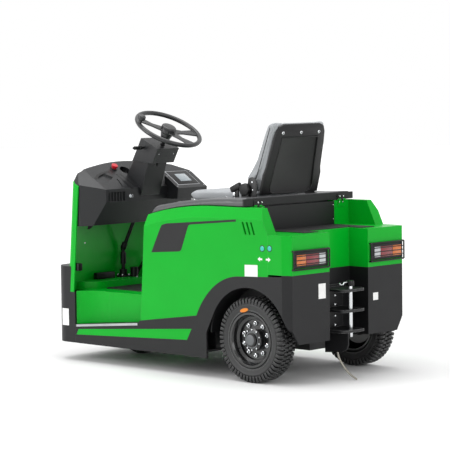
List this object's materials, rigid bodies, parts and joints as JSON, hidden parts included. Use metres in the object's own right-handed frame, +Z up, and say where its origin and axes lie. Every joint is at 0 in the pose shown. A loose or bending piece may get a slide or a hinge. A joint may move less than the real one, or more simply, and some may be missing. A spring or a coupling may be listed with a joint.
{
  "type": "electric tow tractor",
  "caption": "Compact electric tow tractor with an open step well, hand steering on a tilted column, a seat on a lifting battery hood, and a stepped rear drawbar hitch.",
  "frame": {"origin": "floor level, under the middle of the tractor's length and width", "axes": "+X towards the driver's front, +Y to the driver's left, +Z up"},
  "size_m": [2.0077, 0.98, 1.4637],
  "materials": {
    "green_paint": "gloss powder coat",
    "black_paint": "satin powder coat",
    "dark_plastic": "moulded",
    "wheel_plastic": "moulded",
    "vinyl": "grained vinyl",
    "mat_rubber": "matt",
    "tyre": "matt",
    "rim_steel": "gloss",
    "steel": "zinc plated",
    "cast": "painted",
    "lamp_glass": "clear lens",
    "clear_lens": "clear lens",
    "red_button": "moulded",
    "braid": "braided"
  },
  "bodies": {
    "chassis": {"side_skirt_left": "black_paint", "side_skirt_right": "black_paint", "wheel_arch_left": "black_paint", "wheel_arch_right": "black_paint", "rear_frame": "black_paint", "front_bumper": "black_paint", "front_shield": "green_paint", "floor_pan": "green_paint", "front_platform": "green_paint", "floor_mat": "mat_rubber", "tail_body": "green_paint", "deck_mat": "mat_rubber", "side_panel_left": "green_paint", "side_panel_right": "green_paint", "bulkhead_panel": "black_paint", "bulkhead_jambs": "green_paint", "battery_front_wall": "black_paint", "battery_tray": "black_paint", "battery": "dark_plastic", "dash": "dark_plastic", "column_cover": "dark_plastic", "steering_flange": "black_paint", "fluid_pot": "dark_plastic", "display_pod": "dark_plastic", "stop_button": "red_button", "travel_lever": "dark_plastic", "pedals": "black_paint", "rear_axle": "cast", "turntable": "steel", "hitch_frame": "black_paint", "strap_plate": "black_paint", "ground_strap": "braid", "tail_lamps": "lamp_glass", "lamp_guards": "black_paint", "headlamps": "clear_lens"},
    "rear_wheel_left": {"rear_tyre_left": "tyre", "rear_rim_left": "rim_steel"},
    "rear_wheel_right": {"rear_tyre_right": "tyre", "rear_rim_right": "rim_steel"},
    "front_steer": {"front_fork": "cast"},
    "front_wheel": {"front_tyre": "tyre", "front_rim": "rim_steel"},
    "steering": {"steering_wheel": "wheel_plastic", "spinner_knob": "wheel_plastic", "upper_shaft": "black_paint"},
    "lower_steering": {"lower_shaft": "black_paint"},
    "hood": {"hood_cover": "dark_plastic", "hood_beam": "black_paint", "seat_base": "dark_plastic", "seat_cushion": "vinyl", "seat_back": "vinyl", "seat_shell": "dark_plastic", "seat_brackets": "steel"},
    "hitch_lock": {"hitch_pin": "steel"}
  },
  "joints": [
    {"name": "rear_left_roll", "type": "hinge", "parent": "chassis", "child": "rear_wheel_left", "pos_m": [-0.6375, 0.425, 0.233], "axis": [0, 1, 0], "continuous": true},
    {"name": "rear_right_roll", "type": "hinge", "parent": "chassis", "child": "rear_wheel_right", "pos_m": [-0.6375, -0.425, 0.233], "axis": [0, 1, 0], "continuous": true},
    {"name": "front_steering", "type": "hinge", "parent": "chassis", "child": "front_steer", "pos_m": [0.6925, 0, 0.4], "axis": [0, 0, 1], "range_deg": [-75, 75]},
    {"name": "front_roll", "type": "hinge", "parent": "front_steer", "child": "front_wheel", "pos_m": [0.6925, 0, 0.189], "axis": [0, 1, 0], "continuous": true},
    {"name": "hand_wheel_turn", "type": "hinge", "parent": "chassis", "child": "steering", "pos_m": [0.4511, 0, 1.355], "axis": [-0.4848, 0, 0.8746], "range_deg": [-680, 680]},
    {"name": "lower_shaft_turn", "type": "hinge", "parent": "chassis", "child": "lower_steering", "pos_m": [0.85689, 0, 0.62294], "axis": [0, 0, 1], "range_deg": [-680, 680]},
    {"name": "hood_lift", "type": "hinge", "parent": "chassis", "child": "hood", "pos_m": [-0.5875, 0, 0.953], "axis": [0, -1, 0], "range_deg": [0, 75]},
    {"name": "hitch_pin_lift", "type": "slide", "parent": "chassis", "child": "hitch_lock", "axis": [0, 0, 1], "range_m": [0, 0.29]}
  ],
  "couplings": [
    {"joint": "hand_wheel_turn", "follows": "front_steering", "ratio": 9},
    {"joint": "lower_shaft_turn", "follows": "front_steering", "ratio": 9}
  ]
}
